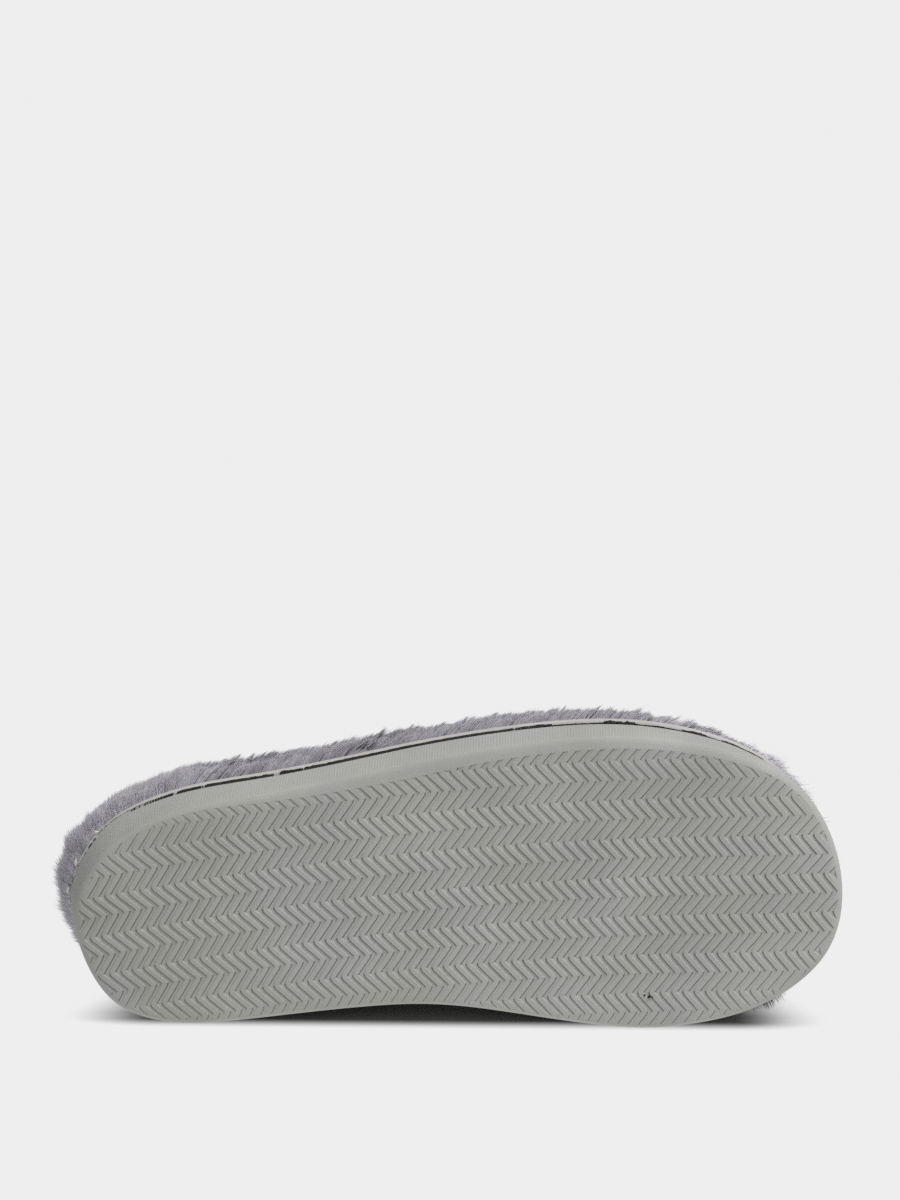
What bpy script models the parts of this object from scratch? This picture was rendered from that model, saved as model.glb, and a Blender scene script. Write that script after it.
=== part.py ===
# House slipper for the right foot, lying on its inner side.
# A thick moulded outsole, a smooth midsole sheet, a padded insole and one hollow plush upper.
#
# The pieces are worked out as the slipper stands: x from heel to toe, y to the inner side, z up
# from the tread. An empty then turns them onto the inner side: tread towards -Y, toe towards +X.

import math
from collections import namedtuple

import bmesh
import bpy
import numpy as np

# Driving dimensions, in metres
MM = 0.001
LENGTH = 0.261              # heel to toe at the tread
BALL_WIDTH = 0.104          # widest place of the sole
HEEL_HEIGHT = 0.045         # collar over the sole, at the back of the heel
INSTEP_HEIGHT = 0.066       # collar over the sole, at the throat
GAP = 0.0003                # clearance between pieces that meet

MIDSOLE_THICKNESS = 0.0045
INSOLE_THICKNESS = 0.0055
UPPER_WALL = 0.0075         # backing, lining and the packed pile
COLLAR_WALL = 0.0060        # the wall is thinner at the rolled collar

TREAD_EDGE = 0.0030         # radius between tread and side wall
RIM_EDGE = 0.0005           # small chamfer at the top of the side wall
MIDSOLE_EDGE = 0.0006
INSOLE_EDGE = 0.0042        # the footbed's soft upper edge
INSOLE_MARGIN = UPPER_WALL + 2 * GAP
TOE_SPRING = 0.0045         # rise of the tread at the toe
SPRING_START = 0.84         # share of the length where the tread starts to rise
SOLE_ROUNDING = 0.05        # share of the length over which the side view is rounded off
LASTING_MARGIN = 0.0025     # upright strip of the upper that is glued to the sole

HALF_STEPS = 36             # stations from heel to toe on each side
RIB_STEPS = 10              # points up the outer face of the upper
COLLAR_STEPS = 4            # parts of the half round at the collar

# Outline of the tread: share of the length, then shares of the ball width on each side of the axis
Station = namedtuple("Station", "along inner outer")
OUTLINE = (
    Station(0.000, 0.030, -0.030),
    Station(0.015, 0.196, 0.104),
    Station(0.045, 0.317, 0.210),
    Station(0.090, 0.380, 0.287),
    Station(0.150, 0.399, 0.347),
    Station(0.250, 0.375, 0.398),
    Station(0.360, 0.341, 0.459),
    Station(0.470, 0.325, 0.524),
    Station(0.580, 0.357, 0.573),
    Station(0.680, 0.393, 0.598),
    Station(0.750, 0.403, 0.595),
    Station(0.810, 0.386, 0.575),
    Station(0.880, 0.340, 0.527),
    Station(0.940, 0.256, 0.426),
    Station(0.980, 0.152, 0.276),
    Station(1.000, -0.041, 0.041),
)

# Side view of the sole, in millimetres: height of the joint with the midsole over the tread plane,
# and how far the side wall leans out from the tread to that joint
Profile = namedtuple("Profile", "along joint lean")
SOLE = (
    Profile(0.00, 21.0, 3.6),
    Profile(0.08, 21.3, 1.5),
    Profile(0.18, 21.5, 0.2),
    Profile(0.35, 21.5, 0.0),
    Profile(0.55, 19.5, 0.0),
    Profile(0.70, 18.0, 0.0),
    Profile(0.82, 15.3, -0.6),
    Profile(0.93, 14.8, -3.4),
    Profile(1.00, 15.0, -3.0),
)

# Ribs of the upper, each from the rim to the collar. The foot of a rib is a station and a side of the
# outline; the collar point is in shares of length, ball width and instep height. The handles of the
# curve are in millimetres: swell outwards and lift at the foot, reach back and drop at the collar.
Rib = namedtuple("Rib", "name along side collar_along collar_side rise swell lift reach drop")
INNER = 1
OUTER = -1
RIBS = (
    Rib("heel back", 0.00, OUTER, 0.019, 0.036, HEEL_HEIGHT / INSTEP_HEIGHT, 15.0, 18.0, 2.0, 14.0),
    Rib("heel outer side", 0.12, OUTER, 0.140, -0.285, 0.56, 8.0, 13.0, 2.0, 11.0),
    Rib("quarter outer side", 0.25, OUTER, 0.250, -0.325, 0.51, 5.0, 11.0, 5.0, 10.0),
    Rib("waist outer side", 0.42, OUTER, 0.385, -0.340, 0.60, 5.5, 11.0, 9.0, 10.0),
    Rib("ball outer side", 0.70, OUTER, 0.500, -0.275, 0.89, 3.0, 11.0, 27.0, 8.0),
    Rib("toe outer side", 0.93, OUTER, 0.536, -0.175, 0.98, -3.0, 20.0, 60.0, 10.0),
    Rib("toe tip", 1.00, OUTER, 0.545, -0.095, 1.00, -2.0, 29.0, 78.0, 12.0),
    Rib("toe inner side", 0.93, INNER, 0.536, -0.015, 0.98, 0.0, 23.0, 62.0, 10.0),
    Rib("ball inner side", 0.72, INNER, 0.500, 0.095, 0.89, 4.0, 15.0, 22.0, 8.0),
    Rib("waist inner side", 0.42, INNER, 0.385, 0.215, 0.60, 8.0, 13.0, 6.0, 10.0),
    Rib("quarter inner side", 0.25, INNER, 0.250, 0.320, 0.51, 9.0, 13.0, 3.0, 10.0),
    Rib("heel inner side", 0.12, INNER, 0.140, 0.355, 0.56, 8.0, 13.0, 2.0, 11.0),
)

# Colour, roughness
SOLE_GREY = (0.33, 0.33, 0.31, 1.0)
MIDSOLE_GREY = (0.45, 0.44, 0.42, 1.0)
PLUSH_GREY = (0.30, 0.28, 0.33, 1.0)
FOOTBED_GREY = (0.34, 0.32, 0.37, 1.0)


def clear_scene():
    for thing in list(bpy.data.objects):
        bpy.data.objects.remove(thing, do_unlink=True)


def station_angle(along):
    # Stations crowd towards heel and toe, as the cosine of an angle, so that both ends come out round
    return math.acos(1 - 2 * along)


def around(along, side):
    # Angle round the outline: 0 at the heel, pi at the toe, the outer side first
    angle = station_angle(along)
    return angle if side == OUTER else 2 * math.pi - angle


def closed_spline(knots, values):
    # Smooth periodic cubic through values at the given angles
    order = np.argsort(knots)
    t = np.asarray(knots, float)[order]
    y = np.asarray(values, float)[order]
    count = len(t)
    step = np.diff(np.append(t, t[0] + 2 * math.pi))
    slope = (np.roll(y, -1) - y) / step
    system = np.zeros((count, count))
    for i in range(count):
        system[i, i - 1] += step[i - 1]
        system[i, i] += 2 * (step[i - 1] + step[i])
        system[i, (i + 1) % count] += step[i]
    bend = np.linalg.solve(system, 6 * (slope - np.roll(slope, 1)))

    def value(angle):
        a = (np.asarray(angle, float) - t[0]) % (2 * math.pi) + t[0]
        i = np.clip(np.searchsorted(t, a, side="right") - 1, 0, count - 1)
        j = (i + 1) % count
        right = t[i] + step[i] - a
        left = a - t[i]
        curve = (bend[i] * right ** 3 + bend[j] * left ** 3) / (6 * step[i])
        line = (y[i] / step[i] - bend[i] * step[i] / 6) * right
        return curve + line + (y[j] / step[i] - bend[j] * step[i] / 6) * left

    return value


def outline_spline():
    outer = [(around(s.along, OUTER), -s.outer) for s in OUTLINE]
    inner = [(around(s.along, INNER), s.inner) for s in OUTLINE[1:-1]]
    knots, shares = zip(*(outer + inner))
    return closed_spline(knots, shares)


ANGLES = np.arange(2 * HALF_STEPS) * math.pi / HALF_STEPS
SIDE_OF = outline_spline()


def outline(angle):
    along = (1 - np.cos(angle)) / 2
    return np.stack([along * LENGTH, SIDE_OF(angle) * BALL_WIDTH], axis=-1)


def outward(angle):
    # Unit normal of the outline in plan, away from the foot
    small = 1e-3
    run = outline(angle + small) - outline(angle - small)
    normal = np.stack([run[..., 1], -run[..., 0]], axis=-1)
    normal *= np.sign(np.sum(normal * (outline(angle) - outline(angle + math.pi)), axis=-1))[..., None]
    return normal / np.linalg.norm(normal, axis=-1, keepdims=True)


def from_sole_table(x, column):
    # The side view is rounded off by averaging the table over a short run
    along = [row.along * LENGTH for row in SOLE]
    sizes = [getattr(row, column) * MM for row in SOLE]
    offsets = np.linspace(-SOLE_ROUNDING, SOLE_ROUNDING, 9) * LENGTH
    return np.mean([np.interp(x + offset, along, sizes) for offset in offsets], axis=0)


def joint_height(x):
    return from_sole_table(x, "joint")


def rim_lean():
    return from_sole_table(outline(ANGLES)[:, 0], "lean")


def tread_height(x):
    start = SPRING_START * LENGTH
    share = np.clip((x - start) / (LENGTH - start), 0, 1)
    return TOE_SPRING * share ** 2


def ring(outset, height):
    # Closed loop of points at a distance outside the tread's outline; height is a function of x
    distance = np.broadcast_to(outset, ANGLES.shape)[:, None]
    plan = outline(ANGLES) + outward(ANGLES) * distance
    return np.column_stack([plan, height(plan[:, 0])])


def close_with_ladder(bm, loop):
    # Cross bars from the outer to the inner side close a ring without a pole
    last = len(loop)
    for i in range(HALF_STEPS):
        corners = [loop[i], loop[i + 1], loop[last - i - 1], loop[(last - i) % last]]
        bm.faces.new(list(dict.fromkeys(corners)))


def loft(name, rings, closed_section):
    # Quads between neighbouring rings. An open run of rings is closed by ladders; a closed one joins its ends
    bm = bmesh.new()
    loops = [[bm.verts.new(point) for point in points] for points in rings]
    pairs = list(zip(loops, loops[1:]))
    if closed_section:
        pairs.append((loops[-1], loops[0]))
    else:
        close_with_ladder(bm, loops[0])
        close_with_ladder(bm, loops[-1])
    for low, high in pairs:
        for i in range(len(low)):
            j = (i + 1) % len(low)
            bm.faces.new((low[i], low[j], high[j], high[i]))
    bmesh.ops.recalc_face_normals(bm, faces=bm.faces)
    mesh = bpy.data.meshes.new(name)
    bm.to_mesh(mesh)
    bm.free()
    mesh.shade_smooth()
    mesh.set_sharp_from_angle(angle=math.radians(40))
    return bpy.data.objects.new(name, mesh)


def quarter_round(radius, steps):
    # Pairs of inset and rise from the flat face round to the side
    turns = [math.radians(90) * i / steps for i in range(steps + 1)]
    return [(radius * (1 - math.sin(a)), radius * (1 - math.cos(a))) for a in turns]


def make_outsole():
    rings = []
    for inset, rise in quarter_round(TREAD_EDGE, 3):
        rings.append(ring(-inset, lambda x, rise=rise: tread_height(x) + rise))
    rings.append(ring(rim_lean(), lambda x: joint_height(x) - RIM_EDGE))
    rings.append(ring(rim_lean() - RIM_EDGE, joint_height))
    return loft("outsole", rings, False)


def make_midsole():
    edge = rim_lean()
    rings = [
        ring(edge - MIDSOLE_EDGE, lambda x: joint_height(x) + GAP),
        ring(edge, lambda x: joint_height(x) + GAP + MIDSOLE_EDGE),
        ring(edge, lambda x: joint_height(x) + MIDSOLE_THICKNESS - MIDSOLE_EDGE),
        ring(edge - MIDSOLE_EDGE, lambda x: joint_height(x) + MIDSOLE_THICKNESS),
    ]
    return loft("midsole", rings, False)


def footbed_height(x):
    return joint_height(x) + MIDSOLE_THICKNESS + GAP


def make_insole():
    edge = rim_lean() - INSOLE_MARGIN
    rings = [ring(edge, footbed_height)]
    for inset, drop in reversed(quarter_round(INSOLE_EDGE, 3)):
        height = lambda x, drop=drop: footbed_height(x) + INSOLE_THICKNESS - drop
        rings.append(ring(edge - inset, height))
    return loft("insole", rings, False)


def floor_side():
    # The slipper lies on the widest places of the sole's inner side, at heel and ball
    tread_edge = ring(0, tread_height)
    rim_edge = ring(rim_lean(), joint_height)
    return float(max(tread_edge[:, 1].max(), rim_edge[:, 1].max()))


def rib_columns():
    knots = [around(rib.along, rib.side) for rib in RIBS]
    numbers = Rib._fields[3:]
    splines = {field: closed_spline(knots, [getattr(rib, field) for rib in RIBS]) for field in numbers}
    return {field: splines[field](ANGLES) for field in numbers}


def upper_outer_face():
    # Grid of points: a row for each angle, and in it a cubic curve from rim to collar
    column = rib_columns()
    foot = ring(rim_lean(), footbed_height)
    collar = np.column_stack([
        column["collar_along"] * LENGTH,
        column["collar_side"] * BALL_WIDTH,
        footbed_height(column["collar_along"] * LENGTH) + column["rise"] * INSTEP_HEIGHT,
    ])
    up = np.array([0.0, 0.0, 1.0])
    out = np.column_stack([outward(ANGLES), np.zeros_like(ANGLES)])
    to_foot = (foot - collar) * (1, 1, 0)
    to_foot /= np.linalg.norm(to_foot, axis=1, keepdims=True)
    start = foot + LASTING_MARGIN * up
    near_foot = start + MM * (column["swell"][:, None] * out + column["lift"][:, None] * up)
    near_collar = collar + MM * (column["reach"][:, None] * to_foot - column["drop"][:, None] * up)
    points = [foot]
    for t in np.linspace(0, 1, RIB_STEPS):
        s = 1 - t
        handles = 3 * s * s * t * near_foot + 3 * s * t * t * near_collar
        points.append(s ** 3 * start + handles + t ** 3 * collar)
    return np.stack(points, axis=1)


def face_normals(grid):
    across = np.roll(grid, -1, axis=0) - np.roll(grid, 1, axis=0)
    up_rib = np.gradient(grid, axis=1)
    normal = np.cross(across, up_rib)
    normal[:, :2, 2] = 0        # the lasting margin stands upright on the sole
    return normal / np.linalg.norm(normal, axis=2, keepdims=True)


def make_upper():
    outer = upper_outer_face()
    normal = face_normals(outer)
    if np.sum(normal[:, 0, :2] * outward(ANGLES)) < 0:
        normal = -normal
    count = outer.shape[1]
    wall = np.linspace(UPPER_WALL, COLLAR_WALL, count)[None, :, None]
    inner = outer - wall * normal
    inner[:, 0, 2] = footbed_height(inner[:, 0, 0])

    # Half round over the collar, from the outer to the inner face
    edge_out = outer[:, -1]
    edge_in = inner[:, -1]
    middle = (edge_out + edge_in) / 2
    arm = (edge_out - edge_in) / 2
    tip = outer[:, -1] - outer[:, -2]
    tip *= np.linalg.norm(arm, axis=1, keepdims=True) / np.linalg.norm(tip, axis=1, keepdims=True)
    roll = []
    for i in range(1, COLLAR_STEPS):
        turn = math.pi * i / COLLAR_STEPS
        roll.append(middle + math.cos(turn) * arm + math.sin(turn) * tip)

    # The pile is pressed flat where the slipper lies on it
    outer[:, :, 1] = np.minimum(outer[:, :, 1], floor_side())
    rings = [outer[:, i] for i in range(count)] + roll + [inner[:, i] for i in reversed(range(count))]
    return loft("upper", rings, True)


def give_material(piece, colour, roughness):
    material = bpy.data.materials.new(piece.name + "_finish")
    material.use_nodes = True
    surface = material.node_tree.nodes["Principled BSDF"]
    surface.inputs["Base Color"].default_value = colour
    surface.inputs["Roughness"].default_value = roughness
    surface.inputs["Metallic"].default_value = 0.0
    piece.data.materials.append(material)


def lay_on_inner_side(pieces, collection):
    # Turned about x, up becomes +Y and the inner side faces the floor.
    # The middle of the face on the floor is the origin.
    frame = bpy.data.objects.new("slipper_frame", None)
    collection.objects.link(frame)
    points = np.concatenate([[tuple(v.co) for v in piece.data.vertices] for piece in pieces])
    low = points.min(axis=0)
    high = points.max(axis=0)
    frame.rotation_euler = (math.radians(-90), 0, 0)
    frame.location = (-(low[0] + high[0]) / 2, -(low[2] + high[2]) / 2, high[1])
    for piece in pieces:
        piece.parent = frame


def main():
    clear_scene()
    collection = bpy.data.collections.new("house_slipper")
    bpy.context.scene.collection.children.link(collection)
    outsole = make_outsole()
    midsole = make_midsole()
    insole = make_insole()
    upper = make_upper()
    give_material(outsole, SOLE_GREY, 0.75)
    give_material(midsole, MIDSOLE_GREY, 0.6)
    give_material(insole, FOOTBED_GREY, 0.95)
    give_material(upper, PLUSH_GREY, 0.95)
    pieces = [outsole, midsole, insole, upper]
    for piece in pieces:
        collection.objects.link(piece)
    lay_on_inner_side(pieces, collection)


main()
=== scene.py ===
import math

import bmesh
import bpy
import numpy as np
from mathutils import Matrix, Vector
from mathutils.bvhtree import BVHTree
from mathutils.kdtree import KDTree


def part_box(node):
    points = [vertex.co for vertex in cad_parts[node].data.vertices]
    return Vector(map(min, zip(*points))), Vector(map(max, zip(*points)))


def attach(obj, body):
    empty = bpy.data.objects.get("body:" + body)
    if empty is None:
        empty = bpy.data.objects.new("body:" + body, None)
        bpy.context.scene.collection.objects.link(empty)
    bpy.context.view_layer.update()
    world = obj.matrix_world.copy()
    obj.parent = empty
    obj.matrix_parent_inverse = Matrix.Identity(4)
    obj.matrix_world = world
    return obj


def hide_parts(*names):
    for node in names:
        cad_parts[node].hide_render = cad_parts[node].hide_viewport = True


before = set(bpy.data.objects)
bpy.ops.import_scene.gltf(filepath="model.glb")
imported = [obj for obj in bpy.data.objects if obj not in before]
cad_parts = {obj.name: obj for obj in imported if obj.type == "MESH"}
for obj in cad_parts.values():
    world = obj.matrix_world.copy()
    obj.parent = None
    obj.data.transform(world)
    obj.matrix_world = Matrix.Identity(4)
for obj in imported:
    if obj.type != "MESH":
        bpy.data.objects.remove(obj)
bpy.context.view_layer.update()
mm = 0.001
scene = bpy.context.scene
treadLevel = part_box("outsole")[0].y


# Small helpers for meshes

def copyOfNode(nodeName):
    bm = bmesh.new()
    bm.from_mesh(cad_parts[nodeName].data)
    bmesh.ops.remove_doubles(bm, verts=bm.verts, dist=0.01 * mm)
    bmesh.ops.join_triangles(bm, faces=bm.faces, angle_face_threshold=math.radians(60),
                             angle_shape_threshold=math.radians(60))
    return bm


def pieceFrom(bm, name):
    mesh = bpy.data.meshes.new(name)
    bm.to_mesh(mesh)
    bm.free()
    if "custom_normal" in mesh.attributes:
        mesh.attributes.remove(mesh.attributes["custom_normal"])    # each piece is shaded anew
    piece = bpy.data.objects.new(name, mesh)
    scene.collection.objects.link(piece)
    return piece


def applyModifiers(piece):
    bpy.context.view_layer.update()
    graph = bpy.context.evaluated_depsgraph_get()
    mesh = bpy.data.meshes.new_from_object(piece.evaluated_get(graph))
    old = piece.data
    piece.modifiers.clear()
    piece.data = mesh
    bpy.data.meshes.remove(old)
    mesh.name = piece.name


def soften(piece, levels):
    smooth = piece.modifiers.new("softened", "SUBSURF")
    smooth.levels = levels
    smooth.render_levels = levels
    applyModifiers(piece)


def shadeByAngle(piece, degrees):
    piece.data.shade_smooth()
    piece.data.set_sharp_from_angle(angle=math.radians(degrees))


def dress(piece, slotName, *materials):
    for material in materials:
        piece.data.materials.append(material)
    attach(piece, "root")


def carve(piece, other, operation):
    cut = piece.modifiers.new("carved", "BOOLEAN")
    cut.operation = operation
    cut.solver = "EXACT"
    cut.object = other
    applyModifiers(piece)
    bpy.data.objects.remove(other)


def pointsOf(mesh):
    flat = np.empty(len(mesh.vertices) * 3)
    mesh.vertices.foreach_get("co", flat)
    return flat.reshape(-1, 3)


def normalsOf(mesh):
    flat = np.empty(len(mesh.vertices) * 3)
    mesh.vertices.foreach_get("normal", flat)
    return flat.reshape(-1, 3)


def unit(vectors):
    return vectors / np.maximum(np.linalg.norm(vectors, axis=-1, keepdims=True), 1e-12)


def wander(places, seed, wave, count=7):
    # smooth wandering values from a few sine waves, between about -1 and 1
    rng = np.random.default_rng(seed)
    total = np.zeros(len(places))
    for _ in range(count):
        heading = rng.normal(size=places.shape[1])
        heading *= 2 * math.pi / (wave * rng.uniform(0.6, 1.6)) / np.linalg.norm(heading)
        total += np.sin(places @ heading + rng.uniform(0, 2 * math.pi))
    return total / math.sqrt(count * 0.5) * 0.7


# Small helpers for materials

def fill(node, sockets):
    for label, value in sockets.items():
        node.inputs[label].default_value = value


def put(tree, kind, place=(0, 0), sockets=None, **values):
    node = tree.nodes.new(kind)
    node.location = place
    for name, value in values.items():
        setattr(node, name, value)
    fill(node, sockets or {})
    return node


def wire(tree, *runs):
    for fromNode, outName, toNode, inName in runs:
        tree.links.new(fromNode.outputs[outName], toNode.inputs[inName])


def newMaterial(name):
    material = bpy.data.materials.new(name)
    material.use_nodes = True
    return material, material.node_tree, material.node_tree.nodes["Principled BSDF"]


def newGroup(name, inputs, outputs):
    group = bpy.data.node_groups.new(name, "ShaderNodeTree")
    for label, kind, value in inputs:
        socket = group.interface.new_socket(label, in_out="INPUT", socket_type=kind)
        socket.default_value = value
    for label, kind in outputs:
        group.interface.new_socket(label, in_out="OUTPUT", socket_type=kind)
    start = put(group, "NodeGroupInput", (-900, 0))
    end = put(group, "NodeGroupOutput", (700, 0))
    return group, start, end


def useGroup(tree, group, place, **values):
    node = put(tree, "ShaderNodeGroup", place, node_tree=group)
    fill(node, values)
    return node


# Foam: cloudy tone and a fine pitted grain, for outsole, midsole and glue

foamTone, foamIn, foamOut = newGroup(
    "foamTone",
    [("CloudScale", "NodeSocketFloat", 40.0), ("GrainScale", "NodeSocketFloat", 1500.0),
     ("Dark", "NodeSocketColor", (0.3, 0.3, 0.28, 1)), ("Light", "NodeSocketColor", (0.5, 0.5, 0.48, 1))],
    [("Colour", "NodeSocketColor"), ("Grain", "NodeSocketFloat"), ("Cloud", "NodeSocketFloat")])
foamPlace = put(foamTone, "ShaderNodeTexCoord", (-900, -250))
foamCloud = put(foamTone, "ShaderNodeTexNoise", (-600, 150), {"Detail": 5.0, "Roughness": 0.6})
foamGrain = put(foamTone, "ShaderNodeTexNoise", (-600, -200), {"Detail": 3.0})
foamBoth = put(foamTone, "ShaderNodeMath", (-300, 0), {1: 0.35}, operation="MULTIPLY_ADD")
foamRange = put(foamTone, "ShaderNodeMapRange", (-60, 0), {"From Min": 0.4, "From Max": 0.95})
foamMix = put(foamTone, "ShaderNodeMix", (200, 100), data_type="RGBA")
wire(foamTone, (foamPlace, "Object", foamCloud, "Vector"), (foamPlace, "Object", foamGrain, "Vector"),
     (foamIn, "CloudScale", foamCloud, "Scale"), (foamIn, "GrainScale", foamGrain, "Scale"),
     (foamGrain, "Fac", foamBoth, 0), (foamCloud, "Fac", foamBoth, 2), (foamBoth, "Value", foamRange, "Value"),
     (foamRange, "Result", foamMix, "Factor"), (foamIn, "Dark", foamMix, "A"), (foamIn, "Light", foamMix, "B"),
     (foamMix, "Result", foamOut, "Colour"), (foamGrain, "Fac", foamOut, "Grain"),
     (foamCloud, "Fac", foamOut, "Cloud"))

# Pile: each strand is dark at its root and pale at its tip, which is partly painted shade deep in the pile and
# painted highlight on the tips, and strands and tufts differ

pileTone, pileIn, pileOut = newGroup(
    "pileTone",
    [("Along", "NodeSocketFloat", 0.5), ("Strand", "NodeSocketFloat", 0.5), ("Tuft", "NodeSocketFloat", 0.5),
     ("Root", "NodeSocketColor", (0.1, 0.1, 0.12, 1)), ("Body", "NodeSocketColor", (0.3, 0.28, 0.33, 1)),
     ("Tip", "NodeSocketColor", (0.6, 0.58, 0.63, 1))],
    [("Colour", "NodeSocketColor")])
pileLow = put(pileTone, "ShaderNodeMapRange", (-600, 200), {"From Max": 0.55})
pileHigh = put(pileTone, "ShaderNodeMapRange", (-600, -100), {"From Min": 0.45})
pileFirst = put(pileTone, "ShaderNodeMix", (-300, 150), data_type="RGBA")
pileSecond = put(pileTone, "ShaderNodeMix", (0, 100), data_type="RGBA")
# strands differ less than tufts do
pileVary = put(pileTone, "ShaderNodeMath", (-300, -250), {1: 0.35}, operation="MULTIPLY_ADD")
pileGain = put(pileTone, "ShaderNodeMapRange", (0, -250), {"From Max": 2.0, "To Min": 0.68, "To Max": 1.6},
               clamp=False)
pileScale = put(pileTone, "ShaderNodeVectorMath", (350, 50), operation="SCALE")
wire(pileTone, (pileIn, "Along", pileLow, "Value"), (pileIn, "Along", pileHigh, "Value"),
     (pileLow, "Result", pileFirst, "Factor"), (pileIn, "Root", pileFirst, "A"),
     (pileIn, "Body", pileFirst, "B"), (pileHigh, "Result", pileSecond, "Factor"),
     (pileFirst, "Result", pileSecond, "A"), (pileIn, "Tip", pileSecond, "B"),
     (pileIn, "Strand", pileVary, 0), (pileIn, "Tuft", pileVary, 2), (pileVary, "Value", pileGain, "Value"),
     (pileSecond, "Result", pileScale, "Vector"), (pileGain, "Result", pileScale, "Scale"),
     (pileScale, "Vector", pileOut, "Colour"))


def foamMaterial(name, roughness, gloss=0.5, **tone):
    material, tree, surface = newMaterial(name)
    foam = useGroup(tree, foamTone, (-500, 0), **tone)
    wire(tree, (foam, "Colour", surface, "Base Color"))
    fill(surface, {"Roughness": roughness, "Specular IOR Level": gloss})
    return material


def pileMaterial(name, look):
    material, tree, surface = newMaterial(name)
    strand = put(tree, "ShaderNodeAttribute", (-900, 0), attribute_name="strand")
    split = put(tree, "ShaderNodeSeparateXYZ", (-700, 0))
    tone = useGroup(tree, pileTone, (-450, 0), Root=look["root"], Body=look["body"], Tip=look["tip"])
    wire(tree, (strand, "Vector", split, "Vector"), (split, "X", tone, "Along"), (split, "Y", tone, "Strand"),
         (split, "Z", tone, "Tuft"), (tone, "Colour", surface, "Base Color"))
    fill(surface, {"Roughness": look["roughness"], "Specular IOR Level": look["gloss"],
                   "Sheen Weight": look["sheen"], "Sheen Roughness": 0.45, "Sheen Tint": (0.92, 0.9, 1.0, 1)})
    return material


def backingMaterial(name, look):
    # woven backing under the pile, seen only between the strands
    material, tree, surface = newMaterial(name)
    tone = useGroup(tree, foamTone, (-500, 0), CloudScale=120.0, GrainScale=900.0,
                    Dark=look["dark"], Light=look["light"])
    bump = put(tree, "ShaderNodeBump", (-200, -200), {"Strength": 0.5, "Distance": 0.6 * mm})
    wire(tree, (tone, "Colour", surface, "Base Color"), (tone, "Grain", bump, "Height"),
         (bump, "Normal", surface, "Normal"))
    fill(surface, {"Roughness": 1.0, "Specular IOR Level": 0.1})
    return material


print("materials: shared groups made")


# The side wall's top edge as one smooth closed path, found from the outsole's own rim

def loopInOrder(edges):
    # the points of a closed ring of edges, from its lowest one on
    wanted = set(edges)
    loop = [min((v for e in edges for v in e.verts), key=lambda v: v.co.z)]
    seen = set(loop)
    while True:
        onward = [e.other_vert(loop[-1]) for e in loop[-1].link_edges if e in wanted]
        onward = [v for v in onward if v not in seen]
        if not onward:
            return np.array([v.co for v in loop])
        pick = max(onward, key=lambda v: v.co.x) if len(loop) == 1 else onward[0]
        loop.append(pick)
        seen.add(pick)


def smoothLoop(points, count):
    # the points are even steps of one angle, so a Fourier series runs smoothly through them
    known = len(points)
    waves = np.fft.fft(points, axis=0)
    order = np.fft.fftfreq(known, 1 / known)
    turns = np.exp(2j * math.pi * np.outer(np.arange(count) / count, order))
    return (turns @ waves).real / known


rimCopy = copyOfNode("outsole")
topVerts = {v for f in rimCopy.faces if f.normal.y > 0.9 for v in f.verts}
rimVerts = {e.other_vert(v) for v in topVerts for e in v.link_edges} - topVerts
rim = smoothLoop(loopInOrder([e for e in rimCopy.edges if set(e.verts) <= rimVerts]), 3600)
treadBorder = [e for e in rimCopy.edges if sum(f.normal.y < -0.9 for f in e.link_faces) == 1]
treadBorder = smoothLoop(loopInOrder(treadBorder), 360)
treadMiddle = treadBorder.mean(axis=0)
rimCopy.free()
rimRun = np.linalg.norm(np.roll(rim, -1, axis=0) - rim, axis=1)
rimRun = np.concatenate([[0], np.cumsum(rimRun)])
rimLength = rimRun[-1]
rimAlong = unit(np.roll(rim, -1, axis=0) - np.roll(rim, 1, axis=0))
rimOut = unit(np.stack([-rimAlong[:, 2], 0 * rimAlong[:, 0], rimAlong[:, 0]], axis=1))
if np.sum(rimOut * (rim - rim.mean(axis=0))) < 0:
    rimOut = -rimOut
rimTree = KDTree(len(rim))
for rimIndex, rimPoint in enumerate(rim):
    rimTree.insert((rimPoint[0], 0, rimPoint[2]), rimIndex)
rimTree.balance()


def nearestOnRim(points):
    return np.array([rimTree.find((p[0], 0, p[2]))[1] for p in points])


print("rim: %d mm round the sole" % round(rimLength / mm))

# Outsole: moulded foam with zigzag bars cut into the tread and a finely knurled side wall

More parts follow.
